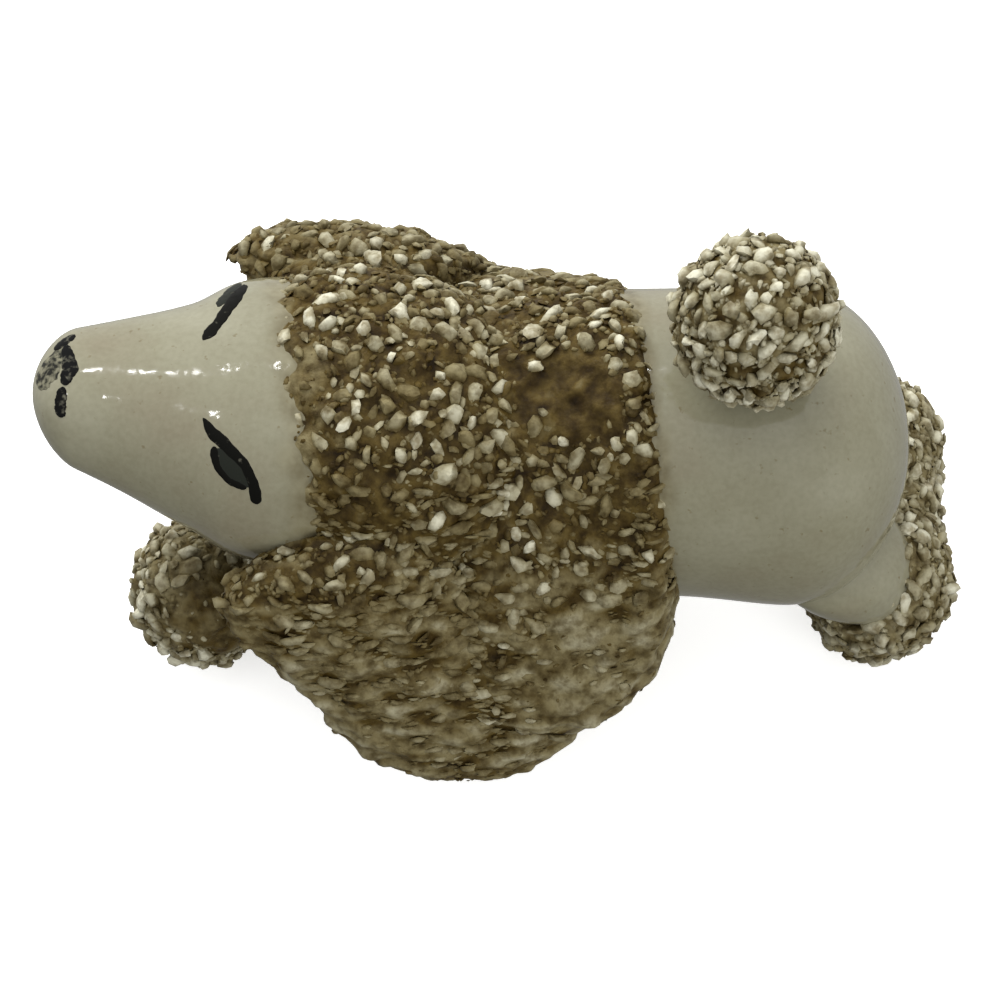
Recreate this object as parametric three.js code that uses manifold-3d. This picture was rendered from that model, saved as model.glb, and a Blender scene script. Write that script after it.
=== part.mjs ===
// A glazed ceramic poodle in a low, playful crouch, with grit coats on its topknot, ears, mane, cuffs
// and tail ball. Millimetres, +Z up. The dog looks towards -X and its left side is -Y.
// The cast pieces are luted together with slip, and each coat is a crust of crushed clay pressed
// onto the pieces below it.
import * as THREE from 'three';
import Module from 'manifold-3d';

// Joints and coats
const SLIP_JOINT = 0.3; // gap left between two pieces that touch
const COAT_THICKNESS = 2.6; // mean depth of a grit coat
const GRIT_RELIEF = 1.1; // how far the top of a clump of grit stands over the dip beside it

// Trunk, from the chest to the rump
const AXIS_HEIGHT = 25.7; // axis of the smooth loin above the table
const LOIN_RADIUS = 17;
const LOIN_X = 14.5; // where the chest has narrowed to the smooth loin
const MANE_END_X = 19.1; // rear edge of the mane on the back
const MANE_END_HALF_WIDTH = 20.2;
const MANE_END_RISE = 21.8;
const MANE_END_DROP = 3; // the mane's rear middle below the loin's axis
const MANE_END_FLARE = 0.05;
const MANE_END_LEAN = 1.2; // how far the mane's rear edge sits towards the left
const MANE_SLANT = 6; // degrees by which the mane's right side lies further forward
const TROUGH_X = 5.6; // bare trough pressed into the mane behind the topknot
const TROUGH_Y = -1.2;
const TROUGH_RADIUS = 4.4;
const TROUGH_DEPTH = 1.4;
const RUMP_RADIUS = 17.3;
const RUMP_X = 31;
const RUMP_END_X = 44.2;
const CHEST_DROP = 7.5; // how far the chest's middle lies below the loin's axis
const CHEST_FRONT_X = -22.5;
const BREAST_X = -13;
const BREAST_HALF_WIDTH = 22;
const BREAST_RISE = 16;
const SHOULDER_X = -3;
const SHOULDER_HALF_WIDTH = 24.6;
const SHOULDER_RISE = 21;
const WITHERS_X = 8;
const WITHERS_HALF_WIDTH = 23.7;
const WITHERS_RISE = 23.5;
const CHEST_DEPTH = 13; // from the chest's middle down to its underside
const CHEST_FLARE = 0.38; // share by which the chest is wider below than above
const VENT_DIAMETER = 3.5; // firing vent in the belly
const VENT_DEPTH = 5;
const VENT_X = 25;

// Head, from the nose to the back of the skull
const NOSE_X = -49;
const NOSE_LIFT = 12; // height of the nose over the loin's axis
const NOSE_RADIUS = 6.2;
const MUZZLE_X = -40.5;
const MUZZLE_HALF_WIDTH = 9.3;
const MUZZLE_LIFT = 9.4;
const CHEEK_X = -33;
const CHEEK_HALF_WIDTH = 12.4;
const CHEEK_LIFT = 7.6;
const CHEEK_LEAN = 0.4; // how far the cheeks sit towards the left
const BROW_X = -25;
const BROW_HALF_WIDTH = 16;
const BROW_LIFT = 6.2;
const BROW_RISE = 11.8;
const SKULL_HALF_WIDTH = 15.2;
const SKULL_LIFT = 5.5;
const SKULL_END_X = -5;
const FACE_FLATNESS = 0.8; // height of a head section as a share of its width

// Topknot
const TOPKNOT_FRONT_X = -32.8;
const TOPKNOT_END_X = 6.5;
const TOPKNOT_HALF_WIDTH = 17.8;
const TOPKNOT_LIFT = 6;
const TOPKNOT_RISE = 14;
const TOPKNOT_SLANT = 9; // degrees by which its right side lies further forward

// Ears
const EAR_ROOT_X = -17.6;
const EAR_ROOT_OUT = 13; // from the middle plane to the ear's root
const EAR_ROOT_LIFT = 5.5;
const EAR_ROOT_HALF_WIDTH = 10;
const EAR_BEND_X = -17.4; // where the ear turns down
const LEFT_EAR_BEND_OUT = 18.6; // the left ear lies close and the right one stands off
const RIGHT_EAR_BEND_OUT = 21.2;
const EAR_BEND_LIFT = 4.5;
const EAR_TIP_X = 2;
const EAR_TIP_OUT = 28.8;
const EAR_TIP_DROP = 22; // ear tip below the loin's axis
const EAR_HALF_WIDTH = 11;
const EAR_HALF_THICKNESS = 1.7;
const LEFT_EAR_TURN = 15; // degrees by which its rear edge is turned in to the mane
const RIGHT_EAR_TURN = 10;
const EAR_SLOPE = 10; // degrees by which its rear edge lies higher than the front
const EAR_TIP_HALF_WIDTH = 14;

// Legs and cuffs
const FRONT_PAW_X = -33.1;
const FRONT_PAW_OUT = 9.3;
const HIND_PAW_INSET = 1.9; // from the rump's end forward to the hind paw's middle
const HIND_PAW_OUT = 8.8;
const THIGH_X = 34;
const SOLE_RADIUS = 5.2;
const ANKLE_RADIUS = 4.8;
const SHOULDER_LIMB_RADIUS = 6;
const THIGH_RADIUS = 7.6;
const CUFF_RADIUS = 8.4;
const HIND_CUFF_RADIUS = 8.6;
const HIND_CUFF_INSIDE = 14; // reach of a hind cuff towards the other, before both are flattened
const CUFF_MIDDLE = 8.8; // height of the cuff's middle
const CUFF_FOOT_RADIUS = 6.6; // flat underside of the cuff
const CUFF_CLEARANCE = 1.2; // bare paw showing below the cuff

// Tail
const TAIL_X = 29; // where the stem stands on the rump
const TAIL_BALL_X = 25.8;
const TAIL_BALL_LIFT = 26.6; // tail ball over the loin's axis
const TAIL_BALL_RADIUS = 6.2;
const TAIL_STEM_RADIUS = 2.6;

const wasm = await Module();
wasm.setup();

const glaze = new THREE.MeshStandardMaterial({ color: 0xd8d4c2, roughness: 0.15, metalness: 0 });
const slip = new THREE.MeshStandardMaterial({ color: 0x6f6040, roughness: 0.6, metalness: 0 });
const grit = new THREE.MeshStandardMaterial({ color: 0xb3aa8a, roughness: 0.7, metalness: 0 });

const X = new THREE.Vector3(1, 0, 0);
const Y = new THREE.Vector3(0, 1, 0);
const Z = new THREE.Vector3(0, 0, 1);
// Width and height directions of the sections of a piece that runs to the rear, down or up.
const REARWARD = { across: Y, lift: Z };
const DOWNWARD = { across: Y, lift: X };
const UPWARD = { across: X, lift: Y };

const HIND_PAW_X = RUMP_END_X - HIND_PAW_INSET;

// One section of a loft: its centre, half width, reach above and below the centre, and flare.
function station(x, y, z, half, up, down = up, flare = 0) {
  return { at: new THREE.Vector3(x, y, z), girth: new THREE.Vector3(half, up, down), flare };
}

// Height of a coat, from -0.5 in a dip to 0.5 on a clump, at row i and column j: clumps and dips
// take turns as on a chequered board, and some are larger than others.
function clump(i, j) {
  const uneven = 0.65 + 0.35 * Math.sin(1.7 * i + 2.3 * j);
  return 0.5 * uneven * Math.cos(Math.PI * i) * Math.cos(Math.PI * j);
}

// How full a section is at a share t from an end that is rounded over the share round.
function rounding(t, round) {
  return t < round ? Math.sqrt(1 - (1 - t / round) ** 2) : 1;
}

// Carries an egg-shaped section through the stations on smooth curves. The ends close in a
// rounded cap over the given share of the length, or flat where that share is 0.
function loft(stations, way, { rings, sides, roundStart, roundEnd, relief = 0 }) {
  const spine = new THREE.CatmullRomCurve3(stations.map((s) => s.at), false, 'catmullrom');
  const girth = new THREE.CatmullRomCurve3(stations.map((s) => s.girth), false, 'catmullrom');
  const flare = new THREE.CatmullRomCurve3(
    stations.map((s) => new THREE.Vector3(s.flare, 0, 0)), false, 'catmullrom');
  const positions = [];
  const first = roundStart > 0 ? 1 : 0;
  const last = roundEnd > 0 ? rings - 1 : rings;
  for (let i = first; i <= last; i += 1) {
    const t = (1 - Math.cos((Math.PI * i) / rings)) / 2;
    const cap = rounding(t, roundStart) * rounding(1 - t, roundEnd);
    const centre = spine.getPoint(t);
    const size = girth.getPoint(t);
    const lift = way.lift ?? spine.getTangent(t).cross(way.across).normalize();
    for (let j = 0; j < sides; j += 1) {
      const angle = (2 * Math.PI * j) / sides;
      const rough = relief * clump(i, Math.min(j, sides - j)) * cap;
      const reach = (Math.cos(angle) > 0 ? size.y : size.z) * cap + rough;
      const width = (size.x * cap + rough) * (1 - flare.getPoint(t).x * Math.cos(angle));
      const point = centre.clone();
      point.addScaledVector(way.across, width * Math.sin(angle));
      point.addScaledVector(lift, reach * Math.cos(angle));
      positions.push(point.x, point.y, point.z);
    }
  }
  const start = positions.length / 3;
  positions.push(...stations[0].at.toArray(), ...stations.at(-1).at.toArray());
  // Each square is split between its two dips, so that every clump is a knob of its own.
  const rows = last - first + 1;
  const index = [];
  for (let j = 0; j < sides; j += 1) {
    const k = (j + 1) % sides;
    index.push(start, j, k);
    for (let i = 0; i < rows - 1; i += 1) {
      const a = i * sides;
      const b = a + sides;
      if ((first + i + j) % 2 === 0) {
        index.push(a + j, b + j, a + k, b + j, b + k, a + k);
      } else {
        index.push(a + j, b + j, b + k, a + j, b + k, a + k);
      }
    }
    const end = (rows - 1) * sides;
    index.push(end + j, start + 1, end + k);
  }
  const geometry = new THREE.BufferGeometry();
  geometry.setAttribute('position', new THREE.Float32BufferAttribute(positions, 3));
  geometry.setIndex(index);
  return geometry;
}

function toSolid(geometry) {
  const vertProperties = new Float32Array(geometry.attributes.position.array);
  const triVerts = new Uint32Array(geometry.index.array);
  return new wasm.Manifold(new wasm.Mesh({ numProp: 3, vertProperties, triVerts }));
}

// A form swollen along its normals by the slip joint, to cut a neighbour that touches it.
function swollen(form) {
  const geometry = form.clone();
  geometry.computeVertexNormals();
  const { position, normal } = geometry.attributes;
  for (let i = 0; i < position.count; i += 1) {
    position.setXYZ(
      i,
      position.getX(i) + SLIP_JOINT * normal.getX(i),
      position.getY(i) + SLIP_JOINT * normal.getY(i),
      position.getZ(i) + SLIP_JOINT * normal.getZ(i),
    );
  }
  return geometry;
}

// Cuts a piece back from its neighbours and keeps its main body, without crumbs that a cut leaves.
function seat(form, neighbours) {
  let body = toSolid(form);
  for (const neighbour of neighbours) {
    body = body.subtract(toSolid(swollen(neighbour)));
  }
  const bodies = body.decompose().sort((a, b) => b.volume() - a.volume());
  const mesh = bodies[0].getMesh();
  const geometry = new THREE.BufferGeometry();
  geometry.setAttribute('position', new THREE.Float32BufferAttribute(mesh.vertProperties, 3));
  geometry.setIndex([...mesh.triVerts]);
  return geometry;
}

// Chest and loin sections, shared by the trunk and by the mane that lies a coat's depth over it.
function chestStations(coat) {
  const middle = AXIS_HEIGHT - CHEST_DROP;
  const depth = CHEST_DEPTH + coat;
  const section = (x, half, rise) =>
    station(x, 0, middle, half + coat, rise + coat, depth, CHEST_FLARE);
  return [
    section(CHEST_FRONT_X - coat, BREAST_HALF_WIDTH, BREAST_RISE),
    section(BREAST_X, BREAST_HALF_WIDTH, BREAST_RISE),
    section(SHOULDER_X, SHOULDER_HALF_WIDTH, SHOULDER_RISE),
    section(WITHERS_X, WITHERS_HALF_WIDTH, WITHERS_RISE),
  ];
}

function trunkForm() {
  const stations = [
    ...chestStations(0),
    station(LOIN_X, 0, AXIS_HEIGHT, LOIN_RADIUS, LOIN_RADIUS),
    station(RUMP_X, 0, AXIS_HEIGHT, RUMP_RADIUS, RUMP_RADIUS),
    station(RUMP_END_X, 0, AXIS_HEIGHT, RUMP_RADIUS, RUMP_RADIUS),
  ];
  return loft(stations, REARWARD, { rings: 24, sides: 24, roundStart: 0.12, roundEnd: 0.17 });
}

function headForm() {
  const section = (x, y, lift, half, rise = half * FACE_FLATNESS) =>
    station(x, y, AXIS_HEIGHT + lift, half, rise);
  const stations = [
    section(NOSE_X, 0, NOSE_LIFT, NOSE_RADIUS),
    section(MUZZLE_X, 0, MUZZLE_LIFT, MUZZLE_HALF_WIDTH),
    section(CHEEK_X, -CHEEK_LEAN, CHEEK_LIFT, CHEEK_HALF_WIDTH),
    section(BROW_X, 0, BROW_LIFT, BROW_HALF_WIDTH, BROW_RISE),
    section(SKULL_END_X, 0, SKULL_LIFT, SKULL_HALF_WIDTH),
  ];
  return loft(stations, REARWARD, { rings: 18, sides: 22, roundStart: 0.13, roundEnd: 0.22 });
}

function topknotForm() {
  const middle = (TOPKNOT_FRONT_X + TOPKNOT_END_X) / 2;
  const section = (x) =>
    station(x, 0, AXIS_HEIGHT + TOPKNOT_LIFT, TOPKNOT_HALF_WIDTH, TOPKNOT_RISE);
  const stations = [section(TOPKNOT_FRONT_X), section(middle), section(TOPKNOT_END_X)];
  const across = Y.clone().applyAxisAngle(Z, THREE.MathUtils.degToRad(TOPKNOT_SLANT));
  const shape = { rings: 14, sides: 32, roundStart: 0.5, roundEnd: 0.5, relief: GRIT_RELIEF };
  return loft(stations, { across, lift: Z }, shape);
}

// An ear leaves the skull sideways, bends over and hangs down outside the mane.
function earForm(side, coat = 0) {
  const outer = EAR_HALF_THICKNESS + coat;
  const inner = coat > 0 ? EAR_HALF_THICKNESS / 2 : EAR_HALF_THICKNESS;
  const midX = (EAR_BEND_X + EAR_TIP_X) / 2;
  const bendOut = side < 0 ? LEFT_EAR_BEND_OUT : RIGHT_EAR_BEND_OUT;
  const hang = (x, out, lift, half) =>
    station(x, side * out, AXIS_HEIGHT + lift, half + coat / 2, outer, inner);
  const stations = [
    hang(EAR_ROOT_X, EAR_ROOT_OUT, EAR_ROOT_LIFT, EAR_ROOT_HALF_WIDTH),
    hang(EAR_BEND_X, bendOut, EAR_BEND_LIFT, EAR_HALF_WIDTH),
    hang(midX, (bendOut + EAR_TIP_OUT) / 2, (EAR_BEND_LIFT - EAR_TIP_DROP) / 2, EAR_HALF_WIDTH),
    hang(EAR_TIP_X, EAR_TIP_OUT, -EAR_TIP_DROP, EAR_TIP_HALF_WIDTH),
  ];
  const turn = THREE.MathUtils.degToRad(side < 0 ? LEFT_EAR_TURN : -RIGHT_EAR_TURN);
  const slope = THREE.MathUtils.degToRad(-EAR_SLOPE);
  const across = X.clone().multiplyScalar(-side).applyAxisAngle(Z, turn).applyAxisAngle(Y, slope);
  const plain = { rings: 12, sides: 16, relief: 0 };
  const gritty = { rings: 14, sides: 20, relief: GRIT_RELIEF };
  const shape = { ...(coat > 0 ? gritty : plain), roundStart: 0.3, roundEnd: 0.3 };
  return loft(stations, { across }, shape);
}

// A leg runs from its joint with the trunk down into a paw with a flat sole.
function legForm(topX, topOut, topHeight, topRadius, pawX, pawOut, side) {
  const section = (x, out, z, radius) => station(x, side * out, z, radius, radius);
  const stations = [
    section(topX, topOut, topHeight, topRadius),
    section((topX + pawX) / 2, (topOut + pawOut) / 2, (topHeight + CUFF_MIDDLE) / 2, topRadius),
    section(pawX, pawOut, CUFF_MIDDLE, ANKLE_RADIUS),
    section(pawX, pawOut, CUFF_MIDDLE / 2, ANKLE_RADIUS),
    section(pawX, pawOut, 0, SOLE_RADIUS),
  ];
  return loft(stations, DOWNWARD, { rings: 9, sides: 12, roundStart: 0.15, roundEnd: 0 });
}

function frontLegForm(side) {
  const topHeight = AXIS_HEIGHT - CHEST_DROP;
  return legForm(
    BREAST_X, FRONT_PAW_OUT, topHeight, SHOULDER_LIMB_RADIUS, FRONT_PAW_X, FRONT_PAW_OUT, side);
}

function hindLegForm(side) {
  const topHeight = AXIS_HEIGHT - THIGH_RADIUS / 2;
  return legForm(THIGH_X, HIND_PAW_OUT, topHeight, THIGH_RADIUS, HIND_PAW_X, HIND_PAW_OUT, side);
}

// A cuff is a ball round the ankle with a flat underside, drawn out towards the middle plane as far
// as inside says.
function cuffForm(pawX, pawOut, side, ball, inside) {
  const section = (z, radius) => {
    const inner = (inside * radius) / ball;
    return station(pawX, side * pawOut, z, radius, side < 0 ? inner : radius, side < 0 ? radius : inner);
  };
  const stations = [
    section(CUFF_CLEARANCE, CUFF_FOOT_RADIUS),
    section(CUFF_MIDDLE, ball),
    section(CUFF_MIDDLE + ball, ball),
  ];
  const shape = { rings: 10, sides: 16, roundStart: 0, roundEnd: 0.5, relief: GRIT_RELIEF };
  return loft(stations, UPWARD, shape);
}

function frontCuffForm(side) {
  return cuffForm(FRONT_PAW_X, FRONT_PAW_OUT, side, CUFF_RADIUS, CUFF_RADIUS);
}

// The hind cuffs meet at the middle plane, where each is pressed flat and a slip joint stays open.
function hindCuffForm(side) {
  const form = cuffForm(HIND_PAW_X, HIND_PAW_OUT, side, HIND_CUFF_RADIUS, HIND_CUFF_INSIDE);
  const { position } = form.attributes;
  for (let i = 0; i < position.count; i += 1) {
    position.setY(i, side * Math.max(side * position.getY(i), SLIP_JOINT / 2));
  }
  return form;
}

function tailForm() {
  const ballHeight = AXIS_HEIGHT + TAIL_BALL_LIFT;
  const foot = AXIS_HEIGHT + RUMP_RADIUS - TAIL_STEM_RADIUS;
  const neck = ballHeight - TAIL_BALL_RADIUS;
  const top = ballHeight + TAIL_BALL_RADIUS;
  const section = (x, z, radius) => station(x, 0, z, radius, radius);
  const stations = [
    section(TAIL_X, foot, TAIL_STEM_RADIUS),
    section((TAIL_X + TAIL_BALL_X) / 2, neck, TAIL_STEM_RADIUS),
    section(TAIL_BALL_X, ballHeight, TAIL_BALL_RADIUS),
    section(TAIL_BALL_X, top, TAIL_BALL_RADIUS),
  ];
  return loft(stations, UPWARD, { rings: 14, sides: 16, roundStart: 0, roundEnd: 0.3 });
}

function pompomForm() {
  const radius = TAIL_BALL_RADIUS + COAT_THICKNESS;
  const ballHeight = AXIS_HEIGHT + TAIL_BALL_LIFT;
  const section = (z) => station(TAIL_BALL_X, 0, z, radius, radius);
  const stations = [section(ballHeight - radius), section(ballHeight), section(ballHeight + radius)];
  const shape = { rings: 12, sides: 20, roundStart: 0.5, roundEnd: 0.5, relief: GRIT_RELIEF };
  return loft(stations, UPWARD, shape);
}

function maneForm() {
  const middle = AXIS_HEIGHT - MANE_END_DROP;
  const rear = station(
    MANE_END_X, -MANE_END_LEAN, middle,
    MANE_END_HALF_WIDTH, MANE_END_RISE, CHEST_DEPTH, MANE_END_FLARE);
  const stations = [...chestStations(COAT_THICKNESS), rear];
  const across = Y.clone().applyAxisAngle(Z, THREE.MathUtils.degToRad(MANE_SLANT));
  const shape = { rings: 20, sides: 44, roundStart: 0.2, roundEnd: 0.12, relief: GRIT_RELIEF };
  const form = loft(stations, { across, lift: Z }, shape);
  pressTrough(form);
  return form;
}

// Sinks the points on the back by the trough's depth, falling off from its middle as a bell curve.
function pressTrough(form) {
  const { position } = form.attributes;
  for (let i = 0; i < position.count; i += 1) {
    const reach = Math.hypot(position.getX(i) - TROUGH_X, position.getY(i) - TROUGH_Y) / TROUGH_RADIUS;
    const depth = position.getZ(i) > AXIS_HEIGHT ? TROUGH_DEPTH * Math.exp(-(reach ** 2)) : 0;
    position.setZ(i, position.getZ(i) - depth);
  }
}

function ventForm() {
  const radius = VENT_DIAMETER / 2;
  const bottom = AXIS_HEIGHT - RUMP_RADIUS;
  const section = (z) => station(VENT_X, 0, z, radius, radius);
  const stations = [section(bottom - VENT_DEPTH), section(bottom), section(bottom + VENT_DEPTH)];
  return loft(stations, UPWARD, { rings: 2, sides: 16, roundStart: 0, roundEnd: 0 });
}

const figure = new THREE.Group();

function place(name, geometry, material) {
  const mesh = new THREE.Mesh(geometry, material);
  mesh.name = name;
  figure.add(mesh);
}

const LEFT = -1;
const RIGHT = 1;
const sides = [['left', LEFT], ['right', RIGHT]];

place('trunk', seat(trunkForm(), [ventForm()]), glaze);
place('head', seat(headForm(), [trunkForm()]), glaze);
place('tail', seat(tailForm(), [trunkForm()]), glaze);
for (const [word, side] of sides) {
  place(`${word}_ear`, seat(earForm(side), [headForm(), trunkForm()]), slip);
  place(`front_${word}_leg`, seat(frontLegForm(side), [trunkForm(), headForm()]), glaze);
  place(`hind_${word}_leg`, seat(hindLegForm(side), [trunkForm()]), glaze);
}

const cast = [
  trunkForm(),
  headForm(),
  tailForm(),
  ...sides.flatMap(([, side]) => [
    earForm(side),
    frontLegForm(side),
    hindLegForm(side),
  ]),
];

place('topknot_coat', seat(topknotForm(), cast), grit);
place('tail_pompom', seat(pompomForm(), cast), grit);
for (const [word, side] of sides) {
  const ear = earForm(side, COAT_THICKNESS);
  place(`${word}_ear_coat`, seat(ear, [...cast, topknotForm()]), grit);
  place(`front_${word}_cuff`, seat(frontCuffForm(side), cast), grit);
  place(`hind_${word}_cuff`, seat(hindCuffForm(side), cast), grit);
}
const overMane = sides.flatMap(([, side]) => [
  earForm(side, COAT_THICKNESS),
  frontCuffForm(side),
]);
place('mane_coat', seat(maneForm(), [...cast, topknotForm(), ...overMane]), grit);

// The origin lies on the table under the middle of the figure's outline.
const outline = new THREE.Box3().setFromObject(figure, true);
const middle = outline.getCenter(new THREE.Vector3());
figure.position.set(-middle.x, -middle.y, -outline.min.z);

const part = new THREE.Group();
part.add(figure);

export default part;
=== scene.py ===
"""A glazed ceramic poodle in a low crouch: ivory glaze on the face, loin and rump, and coats of
crushed-clay grit on the topknot, ears, mane, cuffs and tail ball. Sizes are in millimetres until a
piece becomes a mesh. The dog looks towards -X and its left side is -Y."""
import math

import bpy
import numpy as np
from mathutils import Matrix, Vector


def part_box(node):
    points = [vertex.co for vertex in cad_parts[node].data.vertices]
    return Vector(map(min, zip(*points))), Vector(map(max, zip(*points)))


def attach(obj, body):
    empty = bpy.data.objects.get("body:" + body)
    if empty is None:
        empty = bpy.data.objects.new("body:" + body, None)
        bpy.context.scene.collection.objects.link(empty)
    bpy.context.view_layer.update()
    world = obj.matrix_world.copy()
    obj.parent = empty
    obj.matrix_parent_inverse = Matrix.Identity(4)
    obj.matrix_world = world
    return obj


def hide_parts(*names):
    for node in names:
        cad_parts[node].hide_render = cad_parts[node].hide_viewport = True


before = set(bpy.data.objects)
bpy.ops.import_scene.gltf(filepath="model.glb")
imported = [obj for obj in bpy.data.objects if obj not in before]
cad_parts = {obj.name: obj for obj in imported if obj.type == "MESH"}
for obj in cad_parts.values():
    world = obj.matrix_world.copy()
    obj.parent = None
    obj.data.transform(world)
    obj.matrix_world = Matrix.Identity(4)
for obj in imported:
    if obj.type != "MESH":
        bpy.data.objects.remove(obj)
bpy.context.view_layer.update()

MM = 0.001
X, Y, Z = np.eye(3)
LEFT, RIGHT = -1, 1
SIDES = (("left", LEFT), ("right", RIGHT))
# Width and height directions of the sections of a piece that runs to the rear, down or up.
REARWARD = (Y, Z)
DOWNWARD = (Y, X)
UPWARD = (X, Y)

# Trunk
AXIS = 25.7
CHEST_MIDDLE = AXIS - 7.5
CHEST_DEPTH = 13.0
CHEST_FLARE = 0.38
LOIN_RADIUS = 17.0
LOIN_X = 14.5
RUMP_RADIUS = 17.3
RUMP_X = 31.0
RUMP_END_X = 44.2
MANE_END_X = 19.1
MANE_SLANT = math.radians(6.0)
MANE_LEAN = -1.2
TROUGH = (5.6, -1.2)
TROUGH_RADIUS = 4.4
TROUGH_DEPTH = 1.4
# Distance, in shares, that points under the trunk's axis are given from patches on top.
FAR = 9.0
VENT_X = 25.0
VENT_RADIUS = 1.75
VENT_ROUNDING = 0.7
VENT_DEPTH = 5.0
# Head
NOSE_X = -49.0
FACE_FLATNESS = 0.8
# Coats
COAT = 2.6
CLUMP_RELIEF = 1.1
GRAIN_SINK = 0.7
# Height below which a coat starts to hang, and how far down it takes to hang fully.
HANG_TOP = AXIS + 11
HANG_CHANGE = 8.0
# Strip beside the middle plane that each hind cuff keeps free of grains.
MIDDLE_STRIP = 0.4
TOPKNOT_X = (-32.8, -13.15, 6.5)
TOPKNOT_HALF_WIDTH = 17.8
TOPKNOT_MIDDLE = AXIS + 6.0
TOPKNOT_HEIGHT = 14.0
TOPKNOT_SLANT = math.radians(9.0)
# Ears
EAR_THICKNESS = 1.7
EAR_BEND_OUT = {LEFT: 18.6, RIGHT: 21.2}
EAR_TURN = {LEFT: math.radians(15.0), RIGHT: math.radians(10.0)}
EAR_SLOPE = math.radians(10.0)
EAR_TIP_OUT = 28.8
EAR_COAT_WIDER = COAT / 2 - 0.4
# Legs
CUFF_MIDDLE = 8.8
FRONT_CUFF_RADIUS = 8.4
HIND_CUFF_RADIUS = 8.6
HIND_CUFF_INSIDE = 14.0
CUFF_FOOT_RADIUS = 6.6
CUFF_CLEARANCE = 1.2
FRONT_PAW = (-33.1, 9.3)
HIND_PAW_INSET = 1.9
HIND_PAW = (RUMP_END_X - HIND_PAW_INSET, 8.8)
SOLE_RADIUS = 5.2
ANKLE_RADIUS = 4.8
THIGH_RADIUS = 7.6
THIGH_X = 34.0
SHOULDER_RADIUS = 6.0
SHOULDER_X = -13.0
# Tail
TAIL_BALL_X = 25.8
TAIL_BALL_Z = AXIS + 26.6
TAIL_BALL_RADIUS = 6.2
TAIL_ROOT_X = 29.0
TAIL_STEM_RADIUS = 2.6

# The solids are centred over the table, so the nose and the trunk tell how far the figure was moved.
trunk_low, trunk_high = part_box("trunk")
SHIFT = np.array([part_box("head")[0].x / MM - NOSE_X, (trunk_low.y + trunk_high.y) / 2 / MM, 0.0])


def unit(vectors):
    """Vectors scaled to length 1."""
    return vectors / np.maximum(np.linalg.norm(vectors, axis=-1, keepdims=True), 1e-12)


def through(rows, t):
    """A smooth curve through the rows at shares t of its length. Between two rows it is a cubic whose
    slope at each row is half the step between that row's neighbours."""
    rows = np.asarray(rows, float)
    held = np.vstack([2 * rows[0] - rows[1], rows, 2 * rows[-1] - rows[-2]])
    place = np.clip(t, 0, 1) * (len(rows) - 1)
    first = np.minimum(place.astype(int), len(rows) - 2)
    s = (place - first)[..., None]
    a, b, c, d = (held[first + k] for k in range(4))
    return b + 0.5 * s * (c - a + s * (2 * a - 5 * b + 4 * c - d + s * (3 * (b - c) + d - a)))


def rounding(t, share):
    """A quarter circle that rises from 0 to 1 over the share of the length next to an end."""
    if share == 0:
        return np.ones_like(t)
    return np.sqrt(np.clip(1 - np.clip(1 - t / share, 0, 1) ** 2, 0, 1))


def rise_between(values, low, high):
    """A smooth step from 0 at low to 1 at high: 3s^2 - 2s^3 of the share s between them."""
    s = np.clip((values - low) / (high - low), 0, 1)
    return s * s * (3 - 2 * s)


def nowhere(points):
    """0 at every point."""
    return np.zeros(len(points))


def ripple(points, length):
    """Uneven relief between -1 and 1 with lumps about length apart: three crossed waves, each bent by
    another."""
    p = points * (2 * math.pi / length)
    x, y, z = p[..., 0], p[..., 1], p[..., 2]
    one = np.sin(x + 1.7 * np.sin(0.73 * y + 0.4))
    two = np.sin(y + 1.5 * np.sin(0.81 * z + 2.1))
    three = np.sin(z + 1.6 * np.sin(0.67 * x + 4.2))
    return (one + two + three) / 3


def station(x, y, z, half, up, down=None, flare=0.0):
    """One row for loft: centre, half width, reach up and down, flare."""
    return (x, y, z, half, up, up if down is None else down, flare)


def clump(t, angle, rows, columns):
    """Clumps and dips of a coat that take turns as on a chequered board of rows by columns, from 0.5 to
    -0.5: a cosine along the rows times one along the columns, of uneven size. The rows lie closer
    together near the ends."""
    i = rows * np.arccos(np.clip(1 - 2 * t, -1, 1)) / math.pi
    j = columns * np.mod(angle, 2 * math.pi) / (2 * math.pi)
    j = np.minimum(j, columns - j)
    uneven = 0.65 + 0.35 * np.sin(1.7 * i + 2.3 * j)
    return 0.5 * uneven * np.cos(math.pi * i) * np.cos(math.pi * j)


def loft(stations, way, start=0.0, end=0.0, board=None):
    """A surface of two parameters: t runs along the stations and angle round the section. The section is
    an egg: its width goes with sin(angle) times (1 - flare cos(angle)) and its height with cos(angle).
    The ends close in quarter circles over the shares start and end. Where way gives no height
    direction, it is square to the path and to the width. A board of rows and columns adds clumps."""
    across, lift = way

    def surface(t, angle):
        t, angle = np.broadcast_arrays(np.asarray(t, float), np.asarray(angle, float))
        row = through(stations, t)
        cap = rounding(t, start) * rounding(1 - t, end)
        rise = lift
        if lift is None:
            before, after = np.maximum(t - 1e-3, 0), np.minimum(t + 1e-3, 1)
            ahead = through(stations, after) - through(stations, before)
            rise = unit(np.cross(ahead[..., :3], across))
        cos, sin = np.cos(angle), np.sin(angle)
        rough = CLUMP_RELIEF * cap * clump(t, angle, *board) if board else 0.0
        width = (row[..., 3] * cap + rough) * (1 - row[..., 6] * cos) * sin
        height = (np.where(cos > 0, row[..., 4], row[..., 5]) * cap + rough) * cos
        return row[..., :3] + width[..., None] * across + height[..., None] * rise

    return surface


def slopes(surface, t, angle):
    """How the surface moves for a small step along t and for one round the section."""
    step = 1e-3
    before, after = np.maximum(t - step, 0), np.minimum(t + step, 1)
    along = (surface(after, angle) - surface(before, angle)) / (after - before)[..., None]
    around = (surface(t, angle + step) - surface(t, angle - step)) / (2 * step)
    return along, around


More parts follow.
